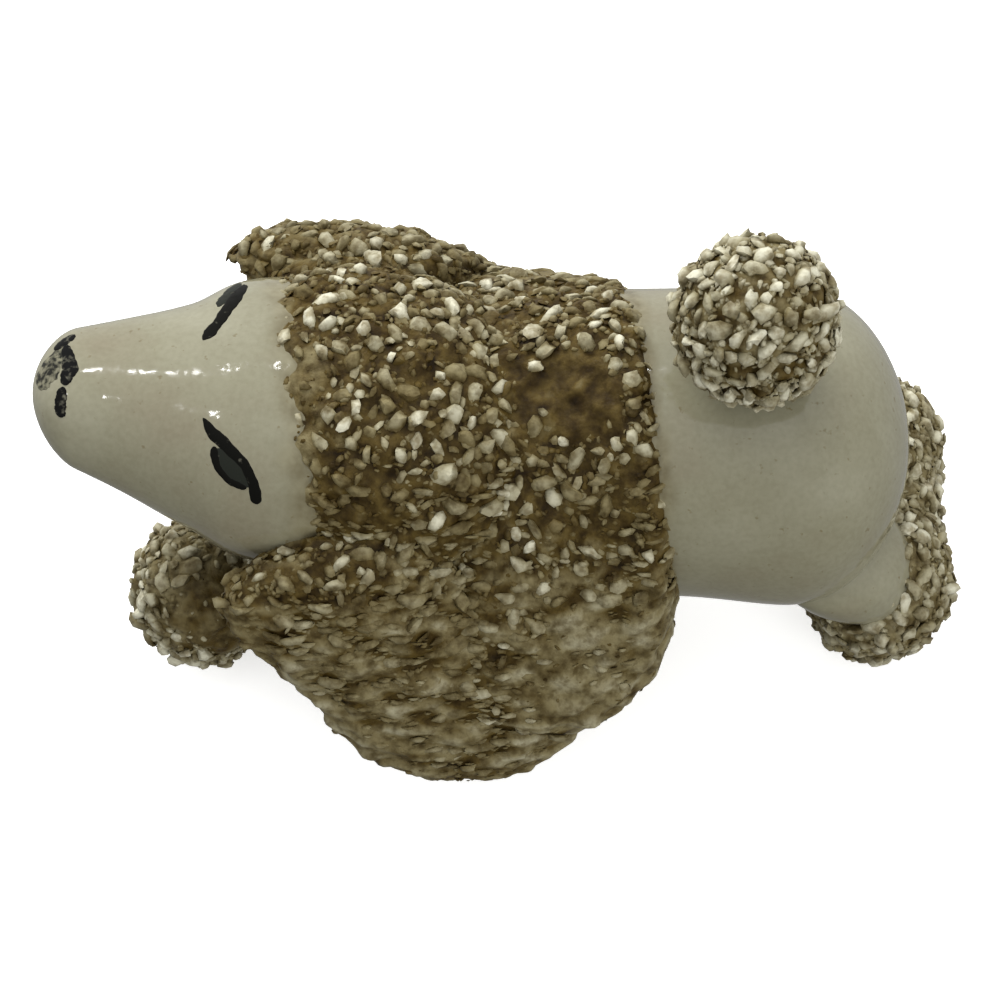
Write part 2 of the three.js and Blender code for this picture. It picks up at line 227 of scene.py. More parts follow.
def normals(surface, t, angle):
    """Outward directions: the cross product of the surface's two slopes."""
    return unit(np.cross(*slopes(surface, t, angle)))


def tube_faces(rows, columns):
    """Quads of a closed tube of rows by columns points, with a fan to one point at each end."""
    ring = np.arange(columns)
    onward = (ring + 1) % columns
    base = np.arange(rows - 1)[:, None] * columns
    quads = np.stack([base + ring, base + columns + ring, base + columns + onward, base + onward], -1)
    start = rows * columns
    last = (rows - 1) * columns
    fan = np.stack([np.full(columns, start), ring, onward], -1)
    fin = np.stack([last + ring, np.full(columns, start + 1), last + onward], -1)
    return quads.reshape(-1, 4), np.vstack([fan, fin])


def skin(surface, rows, columns, flat_start=False, flat_end=False, relief=None):
    """A loft as points and faces: rings close together near the ends, each end closed on its middle.
    relief lifts the points along the outward directions."""
    steps = np.linspace(0, math.pi, rows + 2)[1:-1]
    if flat_start:
        steps[0] = 0
    if flat_end:
        steps[-1] = math.pi
    t = (1 - np.cos(steps)) / 2
    angle = np.linspace(0, 2 * math.pi, columns, endpoint=False)
    t, angle = np.broadcast_arrays(t[:, None], angle[None, :])
    grid = surface(t, angle).reshape(-1, 3)
    ends = surface(np.array([[0.0], [1.0]]), angle[:1]).mean(1)
    if relief:
        grid = grid + normals(surface, t, angle).reshape(-1, 3) * relief(grid)[:, None]
    return np.vstack([grid, ends]), tube_faces(rows, columns)


def add_piece(name, points, faces, material, node=None, slot=None, tones=None, crisp=0.0):
    """Makes one mesh object of points in millimetres, riding on the figure, in place of the solid of its
    node where it has one. Edges that turn by more than the angle crisp stay sharp."""
    mesh = bpy.data.meshes.new(name)
    polygons = [row for block in faces for row in block.tolist()]
    mesh.from_pydata(((points + SHIFT) * MM).tolist(), [], polygons)
    mesh.polygons.foreach_set("use_smooth", np.ones(len(mesh.polygons), bool))
    for key, values in (tones or {}).items():
        mesh.attributes.new(key, "FLOAT", "POINT").data.foreach_set("value", values.astype(np.float32))
    mesh.materials.append(material)
    mesh.update()
    if crisp:
        mesh.set_sharp_from_angle(angle=crisp)
    piece = bpy.data.objects.new(name, mesh)
    bpy.context.scene.collection.objects.link(piece)
    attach(piece, "root")
    if node:
        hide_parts(node)
    return piece


# Finishes


def new_material(name):
    """A node material with its nodes and links."""
    material = bpy.data.materials.new(name)
    material.use_nodes = True
    return material, material.node_tree.nodes, material.node_tree.links


def noise(nodes, links, scale, detail=3.0):
    """Noise on Object coordinates, with scale in lumps per metre."""
    place = nodes.new("ShaderNodeTexCoord")
    texture = nodes.new("ShaderNodeTexNoise")
    texture.inputs["Scale"].default_value = scale
    texture.inputs["Detail"].default_value = detail
    links.new(place.outputs["Object"], texture.inputs["Vector"])
    return texture.outputs["Fac"]


def attribute(nodes, name):
    """A number stored on the points of a piece."""
    node = nodes.new("ShaderNodeAttribute")
    node.attribute_name = name
    return node.outputs["Fac"]


def ramp(nodes, links, value, *stops):
    """A colour ramp over value, from pairs of place and colour."""
    node = nodes.new("ShaderNodeValToRGB")
    elements = node.color_ramp.elements
    while len(elements) < len(stops):
        elements.new(0.5)
    for element, (place, colour) in zip(elements, stops):
        element.position = place
        element.color = (*colour, 1.0)
    links.new(value, node.inputs["Fac"])
    return node.outputs["Color"]


def mixed(nodes, links, kind, factor, first, second):
    """Two colours mixed by a factor."""
    node = nodes.new("ShaderNodeMix")
    node.data_type = "RGBA"
    node.blend_type = kind
    if isinstance(factor, float):
        node.inputs[0].default_value = factor
    else:
        links.new(factor, node.inputs[0])
    links.new(first, node.inputs[6])
    links.new(second, node.inputs[7])
    return node.outputs[2]


def spread(nodes, links, value, low, high):
    """Moves noise between 0.3 and 0.7 to the range from low to high."""
    node = nodes.new("ShaderNodeMapRange")
    node.inputs["From Min"].default_value = 0.3
    node.inputs["From Max"].default_value = 0.7
    node.inputs["To Min"].default_value = low
    node.inputs["To Max"].default_value = high
    links.new(value, node.inputs["Value"])
    return node.outputs["Result"]


def bump(nodes, links, height, strength, distance):
    """Relief from a height, as deep as distance in metres."""
    node = nodes.new("ShaderNodeBump")
    node.inputs["Strength"].default_value = strength
    node.inputs["Distance"].default_value = distance
    links.new(height, node.inputs["Height"])
    return node.outputs["Normal"]


def make_glaze():
    """Ivory glaze: clouded where it is thick, freckled, and stained brown beside the coats."""
    material, nodes, links = new_material("ivory_glaze")
    shader = nodes["Principled BSDF"]
    clouds = noise(nodes, links, 90.0, 5.0)
    cream = ramp(
        nodes, links, clouds,
        (0.3, (0.226, 0.204, 0.136)), (0.5, (0.25, 0.239, 0.162)), (0.7, (0.285, 0.275, 0.195)))
    fine = noise(nodes, links, 1600.0, 5.0)
    mottle = ramp(nodes, links, fine, (0.3, (0.9, 0.89, 0.87)), (0.65, (1, 1, 1)))
    spots = noise(nodes, links, 1100.0, 2.0)
    freckles = ramp(nodes, links, spots, (0.68, (1, 1, 1)), (0.78, (0.7, 0.62, 0.5)))
    mottled = mixed(nodes, links, "MULTIPLY", 1.0, cream, mottle)
    speckled = mixed(nodes, links, "MULTIPLY", 1.0, mottled, freckles)
    bleed = ramp(
        nodes, links, noise(nodes, links, 500.0, 3.0),
        (0.35, (0.11, 0.086, 0.034)), (0.65, (0.23, 0.205, 0.12)))
    stained = mixed(nodes, links, "MIX", attribute(nodes, "stain"), speckled, bleed)
    links.new(stained, shader.inputs["Base Color"])
    links.new(spread(nodes, links, noise(nodes, links, 200.0), 0.06, 0.12), shader.inputs["Roughness"])
    links.new(bump(nodes, links, noise(nodes, links, 200.0, 3.0), 0.35, 0.0004), shader.inputs["Normal"])
    return material


def make_grit():
    """Grit under a thin glaze: the tone on the points runs from brown slip to pale grains."""
    material, nodes, links = new_material("cream_grit")
    shader = nodes["Principled BSDF"]
    coat = ramp(
        nodes, links, attribute(nodes, "tone"),
        (0.0, (0.028, 0.016, 0.003)),
        (0.25, (0.098, 0.067, 0.018)),
        (0.5, (0.22, 0.185, 0.094)),
        (0.75, (0.39, 0.362, 0.245)),
        (1.0, (0.66, 0.64, 0.5)))
    specks, patches = noise(nodes, links, 1000.0, 4.0), noise(nodes, links, 430.0, 3.0)
    dust = ramp(nodes, links, specks, (0.33, (0.42, 0.37, 0.28)), (0.56, (1, 1, 1)))
    film = ramp(nodes, links, patches, (0.34, (0.38, 0.32, 0.2)), (0.5, (1, 1, 1)))
    dusty = mixed(nodes, links, "MULTIPLY", 0.8, coat, dust)
    links.new(mixed(nodes, links, "MULTIPLY", 0.75, dusty, film), shader.inputs["Base Color"])
    links.new(spread(nodes, links, noise(nodes, links, 700.0), 0.3, 0.55), shader.inputs["Roughness"])
    links.new(bump(nodes, links, noise(nodes, links, 1300.0, 4.0), 0.7, 0.0004), shader.inputs["Normal"])
    shader.inputs["Specular IOR Level"].default_value = 0.12
    return material


def make_slip():
    """Brown slip brushed thin over the clay."""
    material, nodes, links = new_material("brown_slip")
    shader = nodes["Principled BSDF"]
    brush = noise(nodes, links, 260.0, 4.0)
    brown = ramp(nodes, links, brush, (0.3, (0.04, 0.027, 0.01)), (0.7, (0.13, 0.1, 0.05)))
    links.new(brown, shader.inputs["Base Color"])
    links.new(spread(nodes, links, brush, 0.35, 0.55), shader.inputs["Roughness"])
    links.new(bump(nodes, links, brush, 0.4, 0.0003), shader.inputs["Normal"])
    shader.inputs["Specular IOR Level"].default_value = 0.15
    return material


def make_enamel(name, paint_colour, worn, below=(0.13, 0.125, 0.095)):
    """Paint whose patches have rubbed through to the colour below, from place worn of the noise on."""
    material, nodes, links = new_material(name)
    shader = nodes["Principled BSDF"]
    wear = noise(nodes, links, 1400.0, 3.0)
    black = ramp(nodes, links, wear, (worn, paint_colour), (worn + 0.2, below))
    links.new(black, shader.inputs["Base Color"])
    links.new(spread(nodes, links, wear, 0.3, 0.5), shader.inputs["Roughness"])
    shader.inputs["Specular IOR Level"].default_value = 0.05
    return material


GLAZE = make_glaze()
GRIT = make_grit()
SLIP = make_slip()
EYE_ENAMEL = make_enamel("black_eye_enamel", (0.005, 0.005, 0.004), 0.66)
IRIS_ENAMEL = make_enamel("dark_iris_enamel", (0.018, 0.02, 0.016), 0.66)
NOSE_ENAMEL = make_enamel("worn_nose_enamel", (0.006, 0.006, 0.006), 0.56)
RUBBED_ENAMEL = make_enamel("rubbed_nose_enamel", (0.022, 0.022, 0.018), 0.43, (0.21, 0.2, 0.14))


# Smooth cast pieces


def chest_stations(coat):
    """Chest sections from the front to the withers, a coat's depth larger for the mane."""
    depth = CHEST_DEPTH + coat
    rows = ((-22.5 - coat, 22.0, 16.0), (-13.0, 22.0, 16.0), (-3.0, 24.6, 21.0), (8.0, 23.7, 23.5))
    return [
        station(x, 0, CHEST_MIDDLE, half + coat, rise + coat, depth, CHEST_FLARE)
        for x, half, rise in rows]


trunk_form = loft(
    chest_stations(0) + [
        station(LOIN_X, 0, AXIS, LOIN_RADIUS, LOIN_RADIUS),
        station(RUMP_X, 0, AXIS, RUMP_RADIUS, RUMP_RADIUS),
        station(RUMP_END_X, 0, AXIS, RUMP_RADIUS, RUMP_RADIUS),
    ], REARWARD, 0.12, 0.17)

head_form = loft([
    station(NOSE_X, 0, AXIS + 12.0, 6.2, 6.2 * FACE_FLATNESS),
    station(-40.5, 0, AXIS + 9.4, 9.3, 9.3 * FACE_FLATNESS),
    station(-33.0, -0.4, AXIS + 7.6, 12.4, 12.4 * FACE_FLATNESS),
    station(-25.0, 0, AXIS + 6.2, 16.0, 11.8),
    station(-5.0, 0, AXIS + 5.5, 15.2, 15.2 * FACE_FLATNESS),
], REARWARD, 0.13, 0.22)


def ear_form(side, outer, inner, wider, board=None):
    """An ear that leaves the skull sideways, bends over and hangs down outside the mane."""
    bend, tip = EAR_BEND_OUT[side], EAR_TIP_OUT
    rows = (
        (-17.6, 13.0, 5.5, 10.0),
        (-17.4, bend, 4.5, 11.0),
        (-7.7, (bend + tip) / 2, -8.75, 11.0),
        (2.0, tip, -22.0, 14.0))
    stations = [
        station(x, side * out, AXIS + lift, half + wider, outer, inner) for x, out, lift, half in rows]
    flat = math.cos(EAR_TURN[side])
    across = np.array([
        -side * flat * math.cos(EAR_SLOPE),
        math.sin(EAR_TURN[side]),
        -side * flat * math.sin(EAR_SLOPE)])
    return loft(stations, (across, None), 0.3, 0.3, board)


def leg_form(top, radius, paw, side):
    """A leg from its joint with the trunk down into a paw with a flat sole."""
    (x, out, z), (paw_x, paw_out) = top, paw
    return loft([
        station(x, side * out, z, radius, radius),
        station((x + paw_x) / 2, side * (out + paw_out) / 2, (z + CUFF_MIDDLE) / 2, radius, radius),
        station(paw_x, side * paw_out, CUFF_MIDDLE, ANKLE_RADIUS, ANKLE_RADIUS),
        station(paw_x, side * paw_out, CUFF_MIDDLE / 2, ANKLE_RADIUS, ANKLE_RADIUS),
        station(paw_x, side * paw_out, 0, SOLE_RADIUS, SOLE_RADIUS),
    ], DOWNWARD, 0.15, 0.0)


tail_form = loft([
    station(TAIL_ROOT_X, 0, AXIS + RUMP_RADIUS - TAIL_STEM_RADIUS, TAIL_STEM_RADIUS, TAIL_STEM_RADIUS),
    station((TAIL_ROOT_X + TAIL_BALL_X) / 2, 0, TAIL_BALL_Z - TAIL_BALL_RADIUS,
            TAIL_STEM_RADIUS, TAIL_STEM_RADIUS),
    station(TAIL_BALL_X, 0, TAIL_BALL_Z, TAIL_BALL_RADIUS, TAIL_BALL_RADIUS),
    station(TAIL_BALL_X, 0, TAIL_BALL_Z + TAIL_BALL_RADIUS, TAIL_BALL_RADIUS, TAIL_BALL_RADIUS),
], UPWARD, 0.0, 0.3)


def glazed(name, node, form, rows, columns, stain, **flat):
    """A smooth piece with a hand-dipped glaze; stain gives the share of brown at its points."""
    points, faces = skin(form, rows, columns, **flat)
    return add_piece(name, points, faces, GLAZE, node, "glaze", {"stain": stain(points)})


def vent_share(points):
    """1 inside the firing vent in the belly, 0 outside it."""
    away = np.hypot(points[:, 0] - VENT_X, points[:, 1])
    inside = 1 - rise_between(away, VENT_RADIUS - VENT_ROUNDING, VENT_RADIUS)
    return np.where(points[:, 2] < AXIS, inside, 0.0)


def trunk_stain(points):
    """Brown beside the mane and in the vent."""
    return np.maximum(mane_stain(points), vent_share(points))


def vented_trunk():
    """The trunk with the vent pressed up into the belly."""
    points, faces = skin(trunk_form, 150, 160)
    points[:, 2] += VENT_DEPTH * vent_share(points)
    return points, faces


def mane_stain(points):
    """Brown slip that ran a little way out from under the mane's rear edge."""
    edge = MANE_END_X - 3.4 - math.tan(MANE_SLANT) * points[:, 1] + 0.7 * ripple(points, 9.0)
    return 0.85 * (1 - rise_between(points[:, 0], edge - 0.4, edge + 1.3))


def topknot_stain(points):
    """Brown slip that ran a little way out from under the topknot's front edge."""
    edge = -22.2 - 0.13 * points[:, 1] + 0.9 * ripple(points, 7.0)
    return 0.7 * rise_between(points[:, 0], edge - 2.4, edge + 0.8)


trunk = vented_trunk()
add_piece("trunk_glaze", *trunk, GLAZE, "trunk", "glaze", {"stain": trunk_stain(trunk[0])})
glazed("head_glaze", "head", head_form, 130, 140, topknot_stain)
glazed("tail_glaze", "tail", tail_form, 60, 48, nowhere, flat_start=True)
for word, side in SIDES:
    flap = skin(ear_form(side, EAR_THICKNESS, EAR_THICKNESS, 0.0), 60, 64)
    add_piece(f"{word}_ear_flap", *flap, SLIP, f"{word}_ear", "slip")
    front = leg_form((SHOULDER_X, FRONT_PAW[1], CHEST_MIDDLE), SHOULDER_RADIUS, FRONT_PAW, side)
    glazed(f"front_{word}_leg_glaze", f"front_{word}_leg", front, 60, 48, nowhere, flat_end=True)
    thigh = (THIGH_X, HIND_PAW[1], AXIS - THIGH_RADIUS / 2)
    hind = leg_form(thigh, THIGH_RADIUS, HIND_PAW, side)
    glazed(f"hind_{word}_leg_glaze", f"hind_{word}_leg", hind, 60, 48, nowhere, flat_end=True)


# Painted eyes and nose

PAINT_FILM = 0.09
IRIS_FILM = 0.05
SMEAR_FILM = 0.04
PAINT_ROOT = 0.2


def brush_stroke(path, form, thickness):
    """A film of paint on a piece. The path's rows are share t along the piece, degrees round it and half
    width. A lens-shaped section is carried along the path: its places are stepped sideways on the
    piece's own two parameters, and lifted along the piece's normals by the height of the lens. Its
    underside is rooted below the surface."""
    rows = np.array(path) * (1, math.pi / 180, 1)

    def surface(t, angle):
        t, angle = np.broadcast_arrays(np.asarray(t, float), np.asarray(angle, float))
        row = through(rows, t)
        base_t, base_angle = row[..., 0], row[..., 1]
        along, around = slopes(form, base_t, base_angle)
        ahead = through(rows, np.minimum(t + 0.01, 1)) - through(rows, np.maximum(t - 0.01, 0))
        course = unit(ahead[..., :1] * along + ahead[..., 1:2] * around)
        aside = np.cross(unit(np.cross(along, around)), course)
        ends = 2 * np.sin(angle)
        ragged = 1 + 0.07 * np.sin(23 * t + ends) + 0.04 * np.sin(57 * t + 1.5 * ends)
        half = row[..., 2] * ragged * rounding(t, 0.15) * rounding(1 - t, 0.15)
        step = aside * (half * np.sin(angle))[..., None]
        side_t = base_t + (step * along).sum(-1) / (along ** 2).sum(-1)
        side_angle = base_angle + (step * around).sum(-1) / (around ** 2).sum(-1)
        height = np.where(np.cos(angle) > 0, thickness, PAINT_ROOT) * np.cos(angle)
        return form(side_t, side_angle) + normals(form, side_t, side_angle) * height[..., None]

    return surface


def paint(name, path, material, thickness=PAINT_FILM):
    """One brush stroke on the head."""
    add_piece(name, *skin(brush_stroke(path, head_form, thickness), 70, 28), material)


paint("left_eye_iris", (
    (0.648, -35.6, 0.7), (0.676, -39.7, 1.35), (0.703, -43.3, 1.55), (0.727, -46.5, 1.25),
    (0.740, -49.3, 0.6)), IRIS_ENAMEL, IRIS_FILM)
paint("left_eye_rim", (
    (0.643, -34.6, 0.5), (0.650, -42.0, 0.5), (0.687, -48.0, 0.42), (0.731, -50.5, 0.42)), EYE_ENAMEL)
paint("left_eye_lid", (
    (0.598, -23.2, 0.42), (0.638, -29.1, 0.72), (0.680, -33.4, 0.75), (0.719, -39.1, 0.6),
    (0.738, -45.0, 0.6), (0.746, -51.1, 0.62), (0.751, -57.5, 0.85)), EYE_ENAMEL)
paint("right_eye_iris", (
    (0.621, 38.1, 0.7), (0.646, 38.9, 1.2), (0.666, 44.3, 1.15), (0.685, 57.0, 0.7)),
    IRIS_ENAMEL, IRIS_FILM)
paint("right_eye_lid", (
    (0.583, 14.6, 0.5), (0.610, 18.2, 0.95), (0.642, 23.7, 0.85), (0.666, 30.4, 0.95),
    (0.688, 39.4, 0.95), (0.705, 50.6, 0.8)), EYE_ENAMEL)
paint("nose_smear", (
    (0.120, 20.0, 0.8), (0.090, 14.0, 1.5), (0.063, 5.4, 1.8), (0.044, -4.3, 1.5), (0.030, -16.5, 0.8)),
    RUBBED_ENAMEL, SMEAR_FILM)
paint("right_nostril", (
    (0.131, 37.9, 0.5), (0.113, 33.7, 0.85), (0.093, 29.9, 0.95), (0.073, 26.9, 0.6)), NOSE_ENAMEL)
paint("nose_bridge", (
    (0.108, 25.0, 0.5), (0.118, 14.0, 0.6), (0.130, 1.0, 0.85), (0.121, -7.1, 0.65),
    (0.116, -14.0, 0.5)), NOSE_ENAMEL)
paint("left_nostril", (
    (0.113, -15.3, 0.42), (0.108, -22.8, 0.6), (0.105, -30.2, 0.66), (0.104, -36.1, 0.66),
    (0.102, -41.4, 0.5)), NOSE_ENAMEL)


# Grit coats


def thinned(points, spacing, rng):
    """Which points to keep so that no two lie closer than spacing: in each round, every point that comes
    first among its near neighbours stays, and its neighbours drop out."""
    flat = points.astype(np.float32)
    size = (flat ** 2).sum(1)
    near = size[:, None] + size[None, :] - 2 * flat @ flat.T < spacing ** 2
    np.fill_diagonal(near, False)
    order = rng.permutation(len(points))
    earlier = near & (order[None, :] < order[:, None])
    waiting = np.ones(len(points), bool)
    kept = np.zeros(len(points), bool)
    while waiting.any():
        chosen = waiting & ~(earlier & waiting[None, :]).any(1)
        kept |= chosen
        waiting &= ~(chosen | near[:, chosen].any(1))
    return kept


def scatter(surface, spacing, rng, spaced):
    """Places on a surface spread evenly by area: cells of a fine grid are drawn by their area, and a
    place is taken at random in each. Spaced ones are drawn too many and thinned to the spacing."""
    t = np.linspace(0.004, 0.996, 161)
    angle = np.linspace(0, 2 * math.pi, 161)
    grid = surface(t[:, None], angle[None, :])
    corner = grid[:-1, :-1]
    area = np.linalg.norm(np.cross(grid[1:, :-1] - corner, grid[:-1, 1:] - corner), axis=-1)
    count = int((3 if spaced else 1) * area.sum() / spacing ** 2)
    cell = rng.choice(area.size, count, p=area.ravel() / area.sum())
    row, column = np.divmod(cell, area.shape[1])
    place_t = t[row] + rng.random(count) * (t[1] - t[0])
    place_angle = angle[column] + rng.random(count) * (angle[1] - angle[0])
    if spaced:
        kept = thinned(surface(place_t, place_angle), spacing, rng)
        place_t, place_angle = place_t[kept], place_angle[kept]
    return place_t, place_angle


class Grain:
    """A kind of grain: shares of the coat's spacing and grain length, range of tones, rings and points
    of its coarse ball, and whether the grains keep apart."""

    def __init__(self, gap, length, tones, rings, sides, spaced):
        self.gap, self.length, self.tones = gap, length, tones
        self.rings, self.sides, self.spaced = rings, sides, spaced


GRAINS = (
    Grain(1.0, 1.0, (0.45, 1.1), 3, 7, True),
    Grain(0.66, 0.6, (0.3, 0.8), 2, 6, True),
    Grain(0.46, 0.36, (0.15, 0.6), 1, 5, False))
GRAIN_CREASE = math.radians(60.0)
# Lumps of the slip ground and the contrast of its tones, and what combing adds to each.
LUMP_HEIGHT, COMBED_LUMP_HEIGHT = 0.3, 0.25
GROUND_CONTRAST, COMBED_CONTRAST = 0.26, 0.3
COMBED_TONE = 0.13
# Share of the places that get a grain, and how much patches of this length sway it and the tones.
GRAIN_SHARE, SHARE_SWAY, TONE_SWAY = 0.92, 0.35, 0.22
PATCH_LENGTH = 10.0
# How much fewer and shorter wiped grains are, how much calmer wiped slip is, and how combing dulls it.
WIPED_FEWER, WIPED_SHORTER, WIPED_CALMER, WIPED_DULLER = 0.9, 0.45, 0.35, 0.4
# Tones that combed and evened grains are drawn to, and the share of its tone on a grain's underside.
COMBED_GRAIN_TONE, EVEN_GRAIN_TONE, UNDERSIDE = 0.52, 0.65, 0.3


def grain_ball(kind):
    """A coarse ball of rings of points and two end points, with the outside at +Z. Every second ring is
    turned by half a step."""
    polar = math.pi * np.arange(1, kind.rings + 1)[:, None] / (kind.rings + 1)
    ring = np.arange(kind.rings)[:, None] % 2 * 0.5 + np.arange(kind.sides)[None, :]
    turn = 2 * math.pi * ring / kind.sides
    body = np.stack([
        np.sin(polar) * np.cos(turn), np.sin(polar) * np.sin(turn), np.cos(polar) + 0 * turn], -1)
    return np.vstack([body.reshape(-1, 3), [0, 0, 1], [0, 0, -1]])


def grains(kind, middles, outward, lengths, combed, rng):
    """Crushed grains: coarse balls whose points are pulled in or out at random, flat along the outward
    direction, long along one beside it and curled down at both ends as a parabola. Where combed is 1
    they are thin streaks laid along X. Returns the points, and how far each lies towards the outside,
    from 0 to 1."""
    count = len(middles)
    ball = grain_ball(kind)
    pull = rng.uniform(0.68, 1.22, (count, len(ball), 1))
    proportions = np.stack([
        rng.uniform(0.85, 1.55, count) + 0.25 * combed,
        rng.uniform(0.55, 0.95, count) - 0.2 * combed,
        rng.uniform(0.5, 0.8, count) - 0.25 * combed], -1)
    local = ball[None] * pull * (lengths[:, None] * proportions)[:, None, :]
    local[..., 2] -= 0.22 * local[..., 0] ** 2 / lengths[:, None]
    wild = rng.normal(size=(count, 3))
    lie = wild * (1 - 0.8 * combed)[:, None] + X * (2.0 * combed)[:, None]
    aside = unit(lie - (lie * outward).sum(1, keepdims=True) * outward)
    beside = np.cross(outward, aside)
    lean = unit(outward + (0.3 - 0.18 * combed)[:, None] * rng.normal(size=(count, 3)))
    axes = np.stack([aside, beside, lean], 1)
    points = middles[:, None, :] + local @ axes
    return points, np.repeat(0.5 + 0.5 * ball[None, :, 2], count, 0)


def everywhere(points):
    """Keeps all grains."""
    return np.ones(len(points), bool)


def hanging(points):
    """1 on the hanging sides of the coats, 0 on their tops, with a smooth change between."""
    return rise_between(HANG_TOP - points[:, 2], 0.0, HANG_CHANGE)


def bed(points, combed):
    """The uneven slip between the grains, from about -1 in the pits to 1 on the lumps: two ripples, one
    with its axes in another order. Where combed is 1 they are drawn out along X into tufts."""
    drawn = points * (1 - 0.55 * combed[:, None] * X)
    return 0.6 * ripple(drawn, 3.3) + 0.4 * ripple(drawn[:, ::-1] + 7.0, 1.9)


def coat_piece(name, node, surface, rng, spacing=1.86, length=1.03, keep=everywhere, hollow=nowhere,
               smear=nowhere, smear_tone=0.42, comb=True, pale=0.0, even=0.0, slip=0.15, proud=0.14,
               rows=110, columns=130):
    """A grit coat: uneven brown slip ground of rows by columns points with three kinds of grains pressed
    into it, the largest at this spacing and length. With comb, grains and slip are combed where the
    coat is steep or hangs. The grains come in patches of more and fewer, paler and darker ones. keep
    says which of them stay, hollow how deep the ground is pressed in, smear how far slip has been wiped
    over the grains, which leaves fewer and shorter ones, and smear_tone how much paler that slip is.
    pale is added to the grains' tones, even draws them together, slip is the tone of the ground, and
    proud how far the grains' middles stand out of it, as a share of their length."""
    def lumps(points):
        combed = hanging(points) * comb
        return (LUMP_HEIGHT + COMBED_LUMP_HEIGHT * combed) * bed(points, combed) - hollow(points)

    ground, faces = skin(surface, rows, columns, relief=lumps)
    combed = hanging(ground) * comb
    wiped = smear(ground)
    contrast = (GROUND_CONTRAST + COMBED_CONTRAST * combed) * (1 - WIPED_CALMER * wiped)
    tone = slip + COMBED_TONE * combed + contrast * bed(ground, combed)
    tone = tone + smear_tone * wiped * (1 - WIPED_DULLER * combed)
    blocks = [(ground, tone, *faces)]
    total = len(ground)
    for kind in GRAINS:
        t, angle = scatter(surface, spacing * kind.gap, rng, kind.spaced)
        points, facing = surface(t, angle), normals(surface, t, angle)
        crowd = ripple(points, PATCH_LENGTH)
        share = (GRAIN_SHARE + SHARE_SWAY * crowd) * (1 - WIPED_FEWER * smear(points))
        drawn = rng.random(len(points)) < share
        chosen = keep(points) & drawn
        points, facing, crowd = points[chosen], facing[chosen], crowd[chosen]
        combed = (1 - rise_between(facing[:, 2], 0.45, 0.8)) * comb
        lengths = length * kind.length * rng.uniform(0.75, 1.25, len(points))
        lengths = lengths * (1 - WIPED_SHORTER * smear(points))
        seats = points + facing * (proud * lengths - hollow(points))[:, None]
        body, height = grains(kind, seats, facing, lengths, combed, rng)
        shade = rng.uniform(*kind.tones, len(points))
        shade = shade + 0.5 * combed * (COMBED_GRAIN_TONE - shade) + even * (EVEN_GRAIN_TONE - shade)
        shade = shade * (1 + TONE_SWAY * crowd) + pale
        shade = shade[:, None] * (UNDERSIDE + (1 - UNDERSIDE) * height)
        quads, fans = tube_faces(kind.rings, kind.sides)
        first = total + np.arange(len(points))[:, None, None] * body.shape[1]
        blocks.append((body.reshape(-1, 3), shade.ravel(),
                       (first + quads[:, ::-1]).reshape(-1, 4), (first + fans[:, ::-1]).reshape(-1, 3)))
        total += body.shape[0] * body.shape[1]
    points, tones, quads, fans = zip(*blocks)
    tones = {"tone": np.clip(np.concatenate(tones), 0, 1)}
    return add_piece(name, np.vstack(points), quads + fans, GRIT, node, "grit", tones, GRAIN_CREASE)


def shrunk(stations):
    """Coat sections drawn in to the slip ground below the grains."""
    sink = (0, 0, 0, GRAIN_SINK, GRAIN_SINK, GRAIN_SINK, 0)
    return [tuple(np.subtract(row, sink)) for row in stations]


def seeded(number):
    """Random numbers that repeat on each run."""
    return np.random.default_rng(number)


def trough_hollow(points):
    """Depth of the trough behind the topknot: a bell curve of the distance from its middle, as a share
    of its radius."""
    away = np.hypot(points[:, 0] - TROUGH[0], points[:, 1] - TROUGH[1]) / TROUGH_RADIUS
    return TROUGH_DEPTH * np.exp(-np.where(points[:, 2] > AXIS, away, FAR) ** 2)


def bare_distance(points):
    """Distance from the middle of the bare patch that runs from the trough down to the left rear, as a
    share of its uneven reach: an oval, turned, with a rippled edge."""
    rear, left = points[:, 0] - 7.0, -2.4 - points[:, 1]
    along, across = 0.85 * rear + 0.53 * left, 0.53 * rear - 0.85 * left
    away = np.hypot(along / 6.4, across / 4.4) * (1 - 0.3 * ripple(points, 6.5))
    return np.where(points[:, 2] > AXIS, away, FAR)


def mane_smear(points):
    """Slip wiped over the left flank behind the ear, from 0 to 1, with a rippled edge."""
    wander = 4.0 * ripple(points, 13.0)
    back = rise_between(points[:, 0] + wander, -1.0, 9.0)
    low = rise_between(AXIS + 6 - points[:, 2] + wander, 0.0, 11.0)
    return back * low * (points[:, 1] < 0)


def topknot_smear(points):
    """Glaze and slip run together over the topknot's front edge, from 0 to 1, furthest back just left of
    the middle, where the reach swells as a bell curve."""
    behind = points[:, 0] + 0.16 * points[:, 1] + 24.0 + 1.8 * ripple(points, 8.0)
    reach = 4.5 + 4.0 * np.exp(-((points[:, 1] + 3.0) / 4.5) ** 2)
    return 0.85 * (1 - rise_between(behind / reach, 0.0, 1.0))


def ear_smear(points):
    """Slip wiped over the hanging part of an ear, most along its front edge."""
    fall = AXIS + 4.5 - points[:, 2]
    behind = points[:, 0] + 28.9 - 0.73 * fall + 2.5 * ripple(points, 9.0)
    front = 1 - rise_between(behind, 1.0, 6.0)
    wiped = np.clip(0.3 + 0.45 * ripple(points, 17.0), 0, 0.75)
    return rise_between(fall, 1.5, 11.5) * np.maximum(wiped, front)


